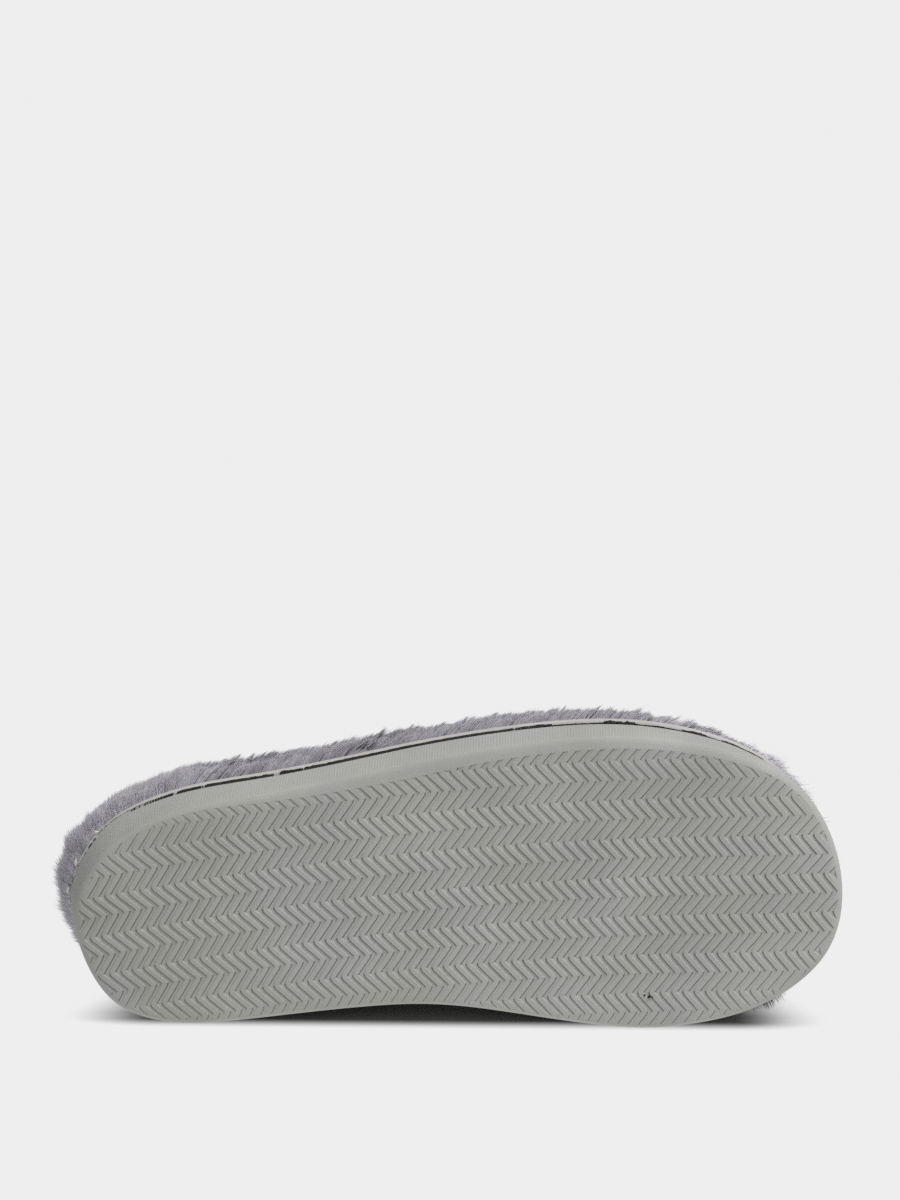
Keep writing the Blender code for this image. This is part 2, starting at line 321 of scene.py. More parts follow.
outsoleLook = {
    "rowRadius": 1139.8 * mm,   # the rows of the tread follow the foot on a wide arc
    "rowApex": 113.1 * mm,
    "rowMiddle": 51.0 * mm,
    "pitch": 3.9484 * mm,
    "bar": 2.15 * mm,
    "steep": 0.13 * mm,         # half the run of the walls that face the inner side of the foot
    "gentle": 0.54 * mm,        # and of those that face the outer side
    "paintedShade": 0.36 * mm,         # painted shade: a dark line along the foot of the steep walls
    "depth": 0.42 * mm,
    "swing": 2.9 * mm,          # the zigzag goes this far to each side
    "period": 13.711 * mm,
    "leftCorner": 4.96 * mm,
    "shift": 1.1 * mm,
    "skew": 0.016,
    "outerCorner": 1.4 * mm,    # bars are rounded outside their corners
    "innerCorner": 0.25 * mm,
    "springStart": 92.98 * mm,  # the toe end of the tread rises
    "springRun": 41.76 * mm,
    "springRise": 4.5 * mm,
    # on the outer side the grooves stop short of the flat tread's border, or run a little past it at the heel:
    # place along the foot and gap, in mm
    "borderGap": ((-130, -0.6), (-112, -1.3), (-96, -0.7), (-83, 0.6), (-66, 1.4), (-39, 3.0), (-12, 4.2),
                  (23, 3.3), (49, 3.2), (86, 2.5), (103, 2.2), (122, 0.5), (132, 0)),
    "edgeSlope": 0.32,          # mean slope of the tread past the ends of the grooves
    "clear": 0.06 * mm,         # the cutter stays this far off the tops of the bars
    "knurl": (1.0 * mm, 1.3 * mm),
}


def treadRise(x):
    share = np.clip((x - outsoleLook["springStart"]) / outsoleLook["springRun"], 0, 1.6)
    return outsoleLook["springRise"] * share ** 2


def zigzag(across, lowRound, highRound):
    half = outsoleLook["period"] / 2
    turn = ((across - outsoleLook["leftCorner"]) / outsoleLook["period"] + 0.5) % 1 - 0.5
    climb = np.abs(turn) * outsoleLook["period"]
    climb = np.where(climb < lowRound, (climb ** 2 + lowRound ** 2) / (2 * lowRound), climb)
    left = half - climb
    left = np.where(left < highRound, (left ** 2 + highRound ** 2) / (2 * highRound), left)
    return outsoleLook["swing"] * (1 - 4 * left / outsoleLook["period"])


def thickened(bm):
    # all faces are extruded, and the new points come back to be moved
    made = bmesh.ops.extrude_face_region(bm, geom=bm.faces[:])
    return [item for item in made["geom"] if isinstance(item, bmesh.types.BMVert)]


def grooveSheet():
    look = outsoleLook
    half = look["period"] / 2
    corner = np.array([0, 0.3, 0.8, 1.5]) * mm
    inHalf = np.concatenate([corner, half - corner[:0:-1]])
    across = np.concatenate([look["leftCorner"] + half * k + inHalf for k in range(-10, 9)])
    pitches = range(-62, 7)
    lines = len(pitches) * 6
    bm = bmesh.new()
    bmesh.ops.create_grid(bm, x_segments=lines - 1, y_segments=len(across) - 1, size=1.0)
    leftEdge = zigzag(across, look["outerCorner"], look["innerCorner"])
    rightEdge = zigzag(across, look["innerCorner"], look["outerCorner"])
    # share of each place that belongs to a falling leg of the zigzag, seen with the toe to the right
    turn = ((across - look["leftCorner"]) / look["period"] + 0.5) % 1 - 0.5
    toCorner = np.minimum(np.abs(turn), 0.5 - np.abs(turn)) * look["period"]
    falling = np.clip(0.5 - np.sign(turn) * toCorner / (0.8 * mm), 0, 1)
    leftRun = look["gentle"] + (look["steep"] - look["gentle"]) * falling
    rightRun = look["steep"] + (look["gentle"] - look["steep"]) * falling
    leftShadeBand = 0.02 * mm + look["paintedShade"] * falling
    rightShadeBand = 0.02 * mm + look["paintedShade"] * (1 - falling)
    shadeMarks = {}
    for vert in bm.verts:
        i = round((vert.co.x + 1) / 2 * (lines - 1))
        j = round((vert.co.y + 1) / 2 * (len(across) - 1))
        start = pitches[i // 6] * look["pitch"] + look["shift"] + look["skew"] * across[j]
        leftSide = start + leftEdge[j]
        rightSide = start + look["bar"] + rightEdge[j]
        run, level = (
            (leftSide + leftRun[j], -look["clear"]),
            (rightSide - rightRun[j], -look["clear"]),
            (rightSide + rightRun[j], look["depth"]),
            (rightSide + rightRun[j] + rightShadeBand[j], look["depth"]),
            (leftSide + look["pitch"] - leftRun[j] - leftShadeBand[j], look["depth"]),
            (leftSide + look["pitch"] - leftRun[j], look["depth"]),
        )[i % 6]
        shadeMarks[vert] = (i % 6, falling[j])
        bend = run / look["rowRadius"]
        reach = look["rowRadius"] + across[j]
        x = look["rowApex"] + reach * math.sin(bend)
        z = look["rowMiddle"] - look["rowRadius"] + reach * math.cos(bend)
        vert.co = (x, treadLevel + treadRise(x) + level, z)
    # faces at the foot of the steep walls take the darker foam, a painted shade
    for face in bm.faces:
        strip = {shadeMarks[v][0] for v in face.verts}
        fall = sum(shadeMarks[v][1] for v in face.verts) / 4
        inShade = (strip in ({1, 2}, {2, 3}) and fall < 0.6) or (strip in ({4, 5}, {5, 0}) and fall > 0.4)
        face.material_index = 1 if inShade else 0
    # only the part of the sheet near the sole is kept, then it is thickened downwards into a cutter
    spare = 4 * mm
    lowest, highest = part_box("outsole")
    middles = [(f, f.calc_center_median()) for f in bm.faces]
    away = [f for f, middle in middles if not (lowest.x - spare < middle.x < highest.x + spare
                                               and lowest.z - spare < middle.z < highest.z + spare)]
    bmesh.ops.delete(bm, geom=away, context="FACES")
    for vert in thickened(bm):
        vert.co.y = treadLevel - 3 * mm
    bmesh.ops.recalc_face_normals(bm, faces=bm.faces)
    return pieceFrom(bm, "grooveSheet")


def borderPrism():
    # grooves end near the border of the flat tread, before its rounded edge
    bm = bmesh.new()
    bmesh.ops.create_circle(bm, cap_ends=True, segments=len(treadBorder), radius=1.0)
    for vert in bm.verts:
        i = round(math.atan2(vert.co.y, vert.co.x) / (2 * math.pi) * len(treadBorder)) % len(treadBorder)
        x, _, z = treadBorder[i]
        if z > treadMiddle[2]:
            z -= mm * np.interp(x / mm, *zip(*outsoleLook["borderGap"]))
        vert.co = (x, treadLevel - 4 * mm, z)
    bmesh.ops.translate(bm, verts=thickened(bm), vec=(0, 14 * mm, 0))
    bmesh.ops.recalc_face_normals(bm, faces=bm.faces)
    return pieceFrom(bm, "borderPrism")


def wallPlaces(mesh):
    # how far round the rim and how high each point of the side wall is, for the knurl
    points = pointsOf(mesh)
    value = np.zeros((len(points), 3))
    value[:, 1] = points[:, 1] - treadLevel - treadRise(points[:, 0])
    wall = value[:, 1] > 0.5 * mm
    value[wall, 0] = rimRun[nearestOnRim(points[wall])]
    places = mesh.attributes.new("wallPlace", "FLOAT_VECTOR", "POINT")
    places.data.foreach_set("vector", value.astype(np.float32).ravel())


soleFoam, soleTree, soleSurface = newMaterial("soleFoam")
# a darker foam for the painted shade in the grooves
paintedShadeFoam = foamMaterial("paintedShadeFoam", 0.8, CloudScale=60.0, GrainScale=1700.0, Dark=(0.17, 0.171, 0.16, 1),
                         Light=(0.26, 0.261, 0.246, 1))
cutter = grooveSheet()
cutter.data.materials.append(soleFoam)
cutter.data.materials.append(paintedShadeFoam)
carve(cutter, borderPrism(), "INTERSECT")
outsole = pieceFrom(copyOfNode("outsole"), "outsoleTread")
soften(outsole, 2)
dress(outsole, "sole_foam", soleFoam, paintedShadeFoam)
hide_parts("outsole")
carve(outsole, cutter, "DIFFERENCE")
wallPlaces(outsole.data)
shadeByAngle(outsole, 20)

soleTone = useGroup(soleTree, foamTone, (-700, 200), CloudScale=28.0, GrainScale=1700.0,
                    Dark=(0.375, 0.378, 0.355, 1), Light=(0.475, 0.478, 0.452, 1))
solePlace = put(soleTree, "ShaderNodeAttribute", (-1500, -300), attribute_name="wallPlace")
soleSplit = put(soleTree, "ShaderNodeSeparateXYZ", (-1300, -300))
soleTurn = put(soleTree, "ShaderNodeMapping", (-1300, -500),
               {"Scale": (1 / outsoleLook["knurl"][0], 1 / outsoleLook["knurl"][1], 1)})
soleDots = put(soleTree, "ShaderNodeTexVoronoi", (-1100, -500), {"Randomness": 0.12, "Scale": 1.0},
               feature="F1", voronoi_dimensions="2D")
soleWall = put(soleTree, "ShaderNodeMapRange", (-1100, -250), {"From Min": 1.0 * mm, "From Max": 2.4 * mm})
soleKnurl = put(soleTree, "ShaderNodeMath", (-850, -400), operation="MULTIPLY")
soleHeight = put(soleTree, "ShaderNodeMath", (-600, -350), {1: 0.25}, operation="MULTIPLY_ADD")
soleBump = put(soleTree, "ShaderNodeBump", (-350, -300), {"Strength": 0.6, "Distance": 0.3 * mm}, invert=True)
# painted light and shade on the knurl: each knob's middle is painted paler than the tread, and the ground
# between the knobs darker
soleLift = put(soleTree, "ShaderNodeMapRange", (-850, -150), {"To Min": 1.06, "To Max": 1.15})
soleShade = put(soleTree, "ShaderNodeMapRange", (-600, -50), {"From Max": 0.75, "To Max": 0.88})
soleTint = put(soleTree, "ShaderNodeVectorMath", (-300, 100), operation="SCALE")
wire(soleTree, (solePlace, "Vector", soleSplit, "Vector"), (solePlace, "Vector", soleTurn, "Vector"),
     (soleTurn, "Vector", soleDots, "Vector"), (soleSplit, "Y", soleWall, "Value"),
     (soleDots, "Distance", soleKnurl, 0), (soleWall, "Result", soleKnurl, 1),
     (soleTone, "Grain", soleHeight, 0), (soleKnurl, "Value", soleHeight, 2),
     (soleHeight, "Value", soleBump, "Height"), (soleBump, "Normal", soleSurface, "Normal"),
     (soleWall, "Result", soleLift, "Value"), (soleLift, "Result", soleShade, "To Min"),
     (soleKnurl, "Value", soleShade, "Value"), (soleTone, "Colour", soleTint, "Vector"),
     (soleShade, "Result", soleTint, "Scale"))
# wide patches, some a little bluish and some a little olive
soleCoords = put(soleTree, "ShaderNodeTexCoord", (-900, 450))
solePatch = put(soleTree, "ShaderNodeTexNoise", (-700, 450), {"Scale": 34.0, "Detail": 2.0})
solePatchRange = put(soleTree, "ShaderNodeMapRange", (-500, 450), {"From Min": 0.36, "From Max": 0.64})
solePatchTint = put(soleTree, "ShaderNodeMix", (-300, 400),
                    {"A": (0.985, 0.98, 0.955, 1), "B": (0.97, 0.972, 0.995, 1)}, data_type="RGBA")
solePatched = put(soleTree, "ShaderNodeVectorMath", (-120, 200), operation="MULTIPLY")
soleSides = put(soleTree, "ShaderNodeSeparateXYZ", (-700, 650))
# painted shade: darker towards the heel, and darker still on the wall round its back, which turns away from
# the light
soleHeelShade = put(soleTree, "ShaderNodeMapRange", (-500, 650),
               {"From Min": -130 * mm, "From Max": -30 * mm, "To Min": 0.91})
soleBackShade = put(soleTree, "ShaderNodeMapRange", (-700, 850),
               {"From Min": -131 * mm, "From Max": -117 * mm, "To Min": 0.74})
soleBackWallShade = put(soleTree, "ShaderNodeMapRange", (-500, 850), {"To Min": 1.0})
soleShadeByPlace = put(soleTree, "ShaderNodeMath", (-250, 700), operation="MULTIPLY")
soleShadedColour = put(soleTree, "ShaderNodeVectorMath", (40, 250), operation="SCALE")
wire(soleTree, (soleCoords, "Object", solePatch, "Vector"), (solePatch, "Fac", solePatchRange, "Value"),
     (solePatchRange, "Result", solePatchTint, "Factor"), (soleTint, "Vector", solePatched, 0),
     (solePatchTint, "Result", solePatched, 1), (soleCoords, "Object", soleSides, "Vector"),
     (soleSides, "X", soleHeelShade, "Value"), (soleSides, "X", soleBackShade, "Value"),
     (soleWall, "Result", soleBackWallShade, "Value"), (soleBackShade, "Result", soleBackWallShade, "To Max"),
     (soleHeelShade, "Result", soleShadeByPlace, 0), (soleBackWallShade, "Result", soleShadeByPlace, 1),
     (solePatched, "Vector", soleShadedColour, "Vector"), (soleShadeByPlace, "Value", soleShadedColour, "Scale"),
     (soleShadedColour, "Vector", soleSurface, "Base Color"))


def curveNode(tree, place, values):
    # a smooth curve through evenly spaced values, all between 0 and 1
    node = put(tree, "ShaderNodeFloatCurve", place)
    points = node.mapping.curves[0].points
    points[0].location = (0, values[0])
    points[1].location = (1, values[-1])
    for k in range(1, len(values) - 1):
        points.new(k / (len(values) - 1), values[k])
    node.mapping.update()
    return node


# on the outer side the tread begins to round over where the grooves end
edgeSpan = 120 * mm     # the curves hold heights and gaps as shares of these two
gapSpan = 10 * mm
edgePlaces = np.linspace(-125, 125, 26) * mm
outerEdge = treadBorder[treadBorder[:, 2] > treadMiddle[2]]
outerEdge = outerEdge[np.argsort(outerEdge[:, 0])]
edgeGaps = mm * np.interp(edgePlaces / mm, *zip(*outsoleLook["borderGap"]))
edgeEnds = np.interp(edgePlaces, outerEdge[:, 0], outerEdge[:, 2]) - edgeGaps
soleAlong = put(soleTree, "ShaderNodeMapRange", (-500, 900),
                {"From Min": edgePlaces[0], "From Max": edgePlaces[-1]})
soleEnd = curveNode(soleTree, (-300, 1000), edgeEnds / edgeSpan)
soleGap = curveNode(soleTree, (-300, 700), np.maximum(edgeGaps, 0) / gapSpan)
solePast = put(soleTree, "ShaderNodeMath", (0, 1000), {1: -edgeSpan}, operation="MULTIPLY_ADD")
soleReach = put(soleTree, "ShaderNodeMath", (0, 700), {1: gapSpan, 2: 0.2 * mm}, operation="MULTIPLY_ADD")
soleFall = put(soleTree, "ShaderNodeMath", (200, 700), {1: -outsoleLook["edgeSlope"]}, operation="MULTIPLY")
soleOver = put(soleTree, "ShaderNodeMapRange", (400, 900), interpolation_type="SMOOTHSTEP")
soleRound = put(soleTree, "ShaderNodeBump", (600, 900), {"Distance": 1.0})
wire(soleTree, (soleSides, "X", soleAlong, "Value"), (soleAlong, "Result", soleEnd, "Value"),
     (soleAlong, "Result", soleGap, "Value"), (soleEnd, "Value", solePast, 0), (soleSides, "Z", solePast, 2),
     (soleGap, "Value", soleReach, 0), (soleReach, "Value", soleFall, 0),
     (solePast, "Value", soleOver, "Value"), (soleReach, "Value", soleOver, "From Max"),
     (soleFall, "Value", soleOver, "To Max"), (soleOver, "Result", soleRound, "Height"),
     (soleRound, "Normal", soleBump, "Normal"))
fill(soleSurface, {"Roughness": 0.62, "Specular IOR Level": 0.22})
print("outsole: %d faces with the zigzag grooves" % len(outsole.data.polygons))

# Midsole: the smooth pale strip over the outsole

midsoleLook = {
    "lip": 1.3 * mm,            # its outer edge is turned up a little round the pile
    "lipReach": 3.0 * mm,
}
midsole = pieceFrom(copyOfNode("midsole"), "midsoleStrip")
soften(midsole, 2)
stripPoints = pointsOf(midsole.data)
stripRim = rim[nearestOnRim(stripPoints)]
stripRise = np.clip((stripPoints[:, 1] - stripRim[:, 1]) / (5 * mm), 0, 1)
stripReach = np.hypot(stripPoints[:, 0] - stripRim[:, 0], stripPoints[:, 2] - stripRim[:, 2])
stripPoints[:, 1] += midsoleLook["lip"] * stripRise * np.clip(1 - stripReach / midsoleLook["lipReach"], 0, 1)
midsole.data.vertices.foreach_set("co", stripPoints.ravel())
midsole.data.update()
shadeByAngle(midsole, 50)
stripFoam, stripTree, stripSurface = newMaterial("stripFoam")
stripTone = useGroup(stripTree, foamTone, (-500, 0), CloudScale=60.0, GrainScale=1200.0,
                     Dark=(0.47, 0.46, 0.435, 1), Light=(0.58, 0.57, 0.54, 1))
stripBump = put(stripTree, "ShaderNodeBump", (-250, -250), {"Strength": 0.25, "Distance": 0.3 * mm})
wire(stripTree, (stripTone, "Colour", stripSurface, "Base Color"), (stripTone, "Cloud", stripBump, "Height"),
     (stripBump, "Normal", stripSurface, "Normal"))
fill(stripSurface, {"Roughness": 0.55, "Specular IOR Level": 0.25})
dress(midsole, "midsole_foam", stripFoam)
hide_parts("midsole")
print("midsole: strip made")

# Seam: dark glue squeezed out in a ragged, broken bead between outsole and midsole, near-black so that it also
# paints the shadow under the strip's edge

seamLook = {
    "height": 0.7 * mm,         # middle of the joint over the rim
    "buried": 0.25 * mm,
    # along the outer side: place, bulge outwards, half width, raggedness
    "outer": ((-128, 0.1, 0.2, 0.5), (-112, 0.12, 0.24, 0.35), (-101, 0.15, 0.34, 0.25),
              (-94, 0.2, 0.55, 0.2), (-92.7, 0.0, 0.2, 0.1), (-91.4, 0.2, 0.55, 0.25),
              (-84.2, 0.2, 0.55, 0.25), (-82.9, 0.0, 0.2, 0.1), (-81.6, 0.26, 0.9, 0.2),
              (-70, 0.22, 0.7, 0.25), (-63, 0.2, 0.6, 0.4), (-60, 0.05, 0.4, 1.2),
              (-48, 0.05, 0.45, 1.2), (-45, 0.24, 0.9, 0.4), (-36, 0.28, 1.1, 0.3), (-24, 0.24, 0.85, 0.2),
              (10, 0.2, 0.6, 0.2), (22, 0.2, 0.55, 0.2), (22.8, 0.0, 0.2, 0.1), (23.8, 0.26, 0.5, 0.2),
              (34, 0.44, 0.46, 0.3), (52, 0.46, 0.44, 0.3), (57, 0.48, 0.55, 1.1), (61, 0.48, 0.55, 1.1),
              (66, 0.44, 0.42, 0.3), (75, 0.42, 0.42, 0.4), (83, 0.4, 0.44, 0.8), (90, 0.3, 0.34, 0.2),
              (98, 0.23, 0.3, 0.15), (113, 0.2, 0.26, 0.15), (132, 0.14, 0.2, 0.3)),
    "inner": (0.25, 0.4, 0.7),  # the same all along the inner side
    "innerBelow": 51 * mm,
    "innerFrom": -118 * mm,
    "wave": 0.6 * mm,           # past the ball the bead strays up and down
    "waveFrom": 22,             # along the foot, in mm
    "least": 0.04 * mm,         # thinner than this, the bead breaks off
    "speckHeights": (51.3 * mm, 41.7 * mm, 62.7 * mm),
    "speckRadius": 0.6 * mm,
    "speckProud": 0.5 * mm,
    "crumbs": ((67.6, 12.9, 0.4), (69.2, 12.5, 0.55), (70.3, 12.2, 0.3)),     # along, up and radius, in mm
}


def surfaceUnder(pieces):
    # one search tree over the softened pieces
    verts = []
    faces = []
    for piece in pieces:
        start = len(verts)
        verts.extend(v.co.copy() for v in piece.data.vertices)
        faces.extend([start + i for i in f.vertices] for f in piece.data.polygons)
    return BVHTree.FromPolygons(verts, faces)


def ragged(count, spacing, seed):
    # random steps joined by straight lines, closed round the sole
    rng = np.random.default_rng(seed)
    marks = max(4, int(round(rimLength / spacing)))
    values = rng.normal(size=marks)
    return np.interp(np.arange(count) / count * marks, np.arange(marks + 1), np.append(values, values[0]))


def glueSeam():
    table = np.array(seamLook["outer"])
    places = rim[:, 0] / mm
    bulge, half, rag = (np.interp(places, table[:, 0], table[:, k]) for k in (1, 2, 3))
    underside = (rim[:, 2] < seamLook["innerBelow"]) & (rim[:, 0] > seamLook["innerFrom"])
    for values, plain in zip((bulge, half, rag), seamLook["inner"]):
        values[underside] = plain
    count = len(rim)
    fine = ragged(count, 0.9 * mm, 31)
    coarse = ragged(count, 4.0 * mm, 32)
    bulge = mm * (bulge + rag * (0.16 * fine + 0.14 * coarse))
    upper = mm * 0.6 * half * (1 + 0.8 * rag * np.abs(ragged(count, 1.1 * mm, 33)))
    lower = mm * half * (1 + 0.4 * rag * np.abs(ragged(count, 1.3 * mm, 34)))
    lower *= 1 + 0.35 * np.cos(2 * math.pi * rimRun[:-1] / outsoleLook["knurl"][0])     # toothed by the knurl
    wave = seamLook["wave"] * ragged(count, 6 * mm, 35) * np.clip((places - seamLook["waveFrom"]) / 8, 0, 1)
    ground = surfaceUnder([outsole, midsole])
    bm = bmesh.new()
    columns = 6
    bmesh.ops.create_grid(bm, x_segments=count, y_segments=columns, size=1.0)
    for vert in bm.verts:
        i = round((vert.co.x + 1) / 2 * count) % count
        j = round((vert.co.y + 1) / 2 * columns)
        turn = 2 * math.pi * j / columns
        rise = seamLook["height"] + wave[i] - math.sin(turn) * (upper[i] if j > 3 else lower[i])
        found = ground.find_nearest(Vector(rim[i]) + Vector((0, rise, 0)))[0]
        sunk = 0.5 + 0.5 * math.cos(turn)
        vert.co = found + Vector(rimOut[i]) * (max(bulge[i], 0) * (1 - sunk) - seamLook["buried"] * sunk)
        vert.index = i
    thin = [f for f in bm.faces if min(bulge[v.index] for v in f.verts) < seamLook["least"]]
    bmesh.ops.delete(bm, geom=thin, context="FACES")
    bmesh.ops.remove_doubles(bm, verts=bm.verts, dist=0.001 * mm)
    bmesh.ops.holes_fill(bm, edges=[e for e in bm.edges if e.is_boundary])
    bmesh.ops.recalc_face_normals(bm, faces=bm.faces)
    return pieceFrom(bm, "glueSeam")


def drops(name, places):
    # small uneven lumps, all in one mesh
    bm = bmesh.new()
    for k, (place, radius, stretch) in enumerate(places):
        made = bmesh.ops.create_icosphere(bm, subdivisions=2, radius=radius)
        for vert in made["verts"]:
            vert.co.z *= stretch
            vert.co *= 1 + 0.25 * math.sin(5000 * vert.co.z + 3 * k)
        bmesh.ops.translate(bm, verts=made["verts"], vec=place)
    return pieceFrom(bm, name)


def speckPlaces():
    # a few pale drops of glue left at the heel
    places = []
    for k, height in enumerate(seamLook["speckHeights"]):
        i = min((i for i in range(len(rim)) if rim[i, 0] < -100 * mm), key=lambda i: abs(rim[i, 2] - height))
        place = Vector(rim[i]) + Vector(rimOut[i]) * seamLook["speckProud"] + Vector((0, (1.5 - k) * mm, 0))
        places.append((place, seamLook["speckRadius"], 2.4 - 0.5 * k))
    return places


seam = glueSeam()
shadeByAngle(seam, 60)
# near-black for the glue and for the painted shadow under the strip's edge; the tread's crumbs of dirt share
# it
darkGlue = foamMaterial("darkGlue", 0.8, 0.2, CloudScale=300.0, GrainScale=2500.0,
                        Dark=(0.008, 0.008, 0.007, 1), Light=(0.03, 0.029, 0.027, 1))
dress(seam, "sole_foam", darkGlue)
crumbs = drops("treadCrumbs", [((x * mm, treadLevel + 0.1 * mm, z * mm), size * mm, 0.8)
                               for x, z, size in seamLook["crumbs"]])
shadeByAngle(crumbs, 60)
dress(crumbs, "sole_foam", darkGlue)
specks = drops("glueSpecks", speckPlaces())
shadeByAngle(specks, 60)
paleGlue = foamMaterial("paleGlue", 0.4, CloudScale=400.0, GrainScale=2500.0,
                        Dark=(0.55, 0.54, 0.5, 1), Light=(0.78, 0.77, 0.73, 1))
dress(specks, "midsole_foam", paleGlue)
print("seam: glue bead of %d faces" % len(seam.data.polygons))

# Upper: a thin backing wall with long pile outside and short pile inside

upperLook = {
    "pileDepth": 3.5 * mm,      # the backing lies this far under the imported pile
    "heelEnd": (-80 * mm, 2 * mm, 52 * mm),
    "toeEnd": (72 * mm, -8 * mm, 52 * mm),
    "heelSplit": -76 * mm,      # the long pile is four pieces
    "toeSplit": 60 * mm,
    "sideSplit": 58 * mm,
    "dark": (0.15, 0.142, 0.17, 1),
    "light": (0.24, 0.228, 0.265, 1),
}
longPile = {
    "slot": "upper_plush",
    "strands": 150000,
    "denseSide": 2.6,           # more strands on the outer side, at the heel and in the loose tufts
    "denseHeel": 4.0,
    "denseTufts": 7.0,
    "length": 9.0 * mm,
    "thick": 0.22 * mm,
    "stand": 0.52,
    "lean": 0.95,
    "comb": (1.0, 0.12, 0.0),   # the nap runs towards the toe
    "heelComb": (0.25, 0.75, 0.45),     # and turns up towards the collar at the heel
    "loose": (103, 14, 9),      # tufts stick out under the toe: along, up and reach, in mm
    "looseComb": (0.3, -0.35, -1.0),
    "ruffle": 0.1,
    "perTuft": 46,
    "gather": 0.88,
    "endGather": 0.35,          # softer tufts at heel and toe
    "root": (0.125, 0.12, 0.145, 1),
    "body": (0.25, 0.239, 0.275, 1),
    "tip": (0.512, 0.499, 0.539, 1),
    # length left of the pile, and how pale its roots are, by place along the foot in mm; the paler roots at
    # heel and toe are painted light, for the dim heel end and the light shining through the pile at the toe
    "worn": ((-134, 1.1), (-127, 0.98), (-120, 0.68), (-107, 0.7), (-96, 1.08), (-85, 1), (-50, 1.05),
             (-42, 1.12), (-28, 1.08), (-8, 0.8), (6, 0.9), (30, 0.95), (50, 1), (75, 1), (94, 0.75),
             (108, 1.03), (120, 0.85)),
    "paleRoots": ((-118, 0.85), (-80, 0.3), (50, 0.3), (75, 0.6), (100, 0.85)),
    # and painted light and shade near the sole: brighter at the heel end, which turns from the lamp, and at
    # the toe, where light shines through the pile
    "paintedLightNearSole": ((-125, 0.5), (-95, 0.1), (-78, -0.08), (60, 0.05), (80, 0.45), (100, 0.8)),
    "gap": ((-125, 0.6), (-108, 2.0), (75, 2.0), (105, 0.8)),      # bare backing over the strip, whose dark colour is a painted shadow under the pile's edge
    "roughness": 0.9,
    "gloss": 0.2,
    "sheen": 0.25,
}
liningPile = dict(longPile, strands=24000, length=3.4 * mm, thick=0.16 * mm, stand=0.8, lean=0.5,
                  comb=(-1.0, 0.3, 0.0), ruffle=0.3, perTuft=14, gather=0.35, endGather=0.3)
footbedPile = dict(longPile, slot="footbed_plush", strands=22000, length=2.6 * mm, thick=0.17 * mm, stand=0.9,
                   lean=0.35, comb=(1.0, 0.0, 0.0), ruffle=0.35, perTuft=12, gather=0.3, endGather=0.3)


def fromSpine(points):
    # direction from the foot's own axis, which tells the outer face of the wall from the inner one
    start = np.array(upperLook["heelEnd"])
    run = np.array(upperLook["toeEnd"]) - start
    share = np.clip((points - start) @ run / (run @ run), 0, 1)
    return points - start - share[:, None] * run


def aboveSole(points):
    # how far over the top edge of the midsole strip
    return points[:, 1] - rim[nearestOnRim(points), 1] - 5.0 * mm


def trianglesOf(mesh):
    mesh.calc_loop_triangles()
    corners = np.empty(len(mesh.loop_triangles) * 3, dtype=np.int32)
    mesh.loop_triangles.foreach_get("vertices", corners)
    return corners.reshape(-1, 3)


def scatter(mesh, count, weightOf, seed):
    # roots of the strands, spread over the faces by area and weight
    rng = np.random.default_rng(seed)
    points = pointsOf(mesh)
    normals = normalsOf(mesh)
    corners = trianglesOf(mesh)
    a, b, c = (points[corners[:, k]] for k in range(3))
    cross = np.cross(b - a, c - a)
    share = np.linalg.norm(cross, axis=1) * weightOf((a + b + c) / 3, unit(cross))
    pick = rng.choice(len(corners), size=count, p=share / share.sum())
    u, v = rng.random((2, count))
    over = u + v > 1
    u[over], v[over] = 1 - u[over], 1 - v[over]
    mix = np.stack([1 - u - v, u, v], axis=1)
    roots = np.einsum("nk,nkd->nd", mix, points[corners[pick]])
    return roots, unit(np.einsum("nk,nkd->nd", mix, normals[corners[pick]]))


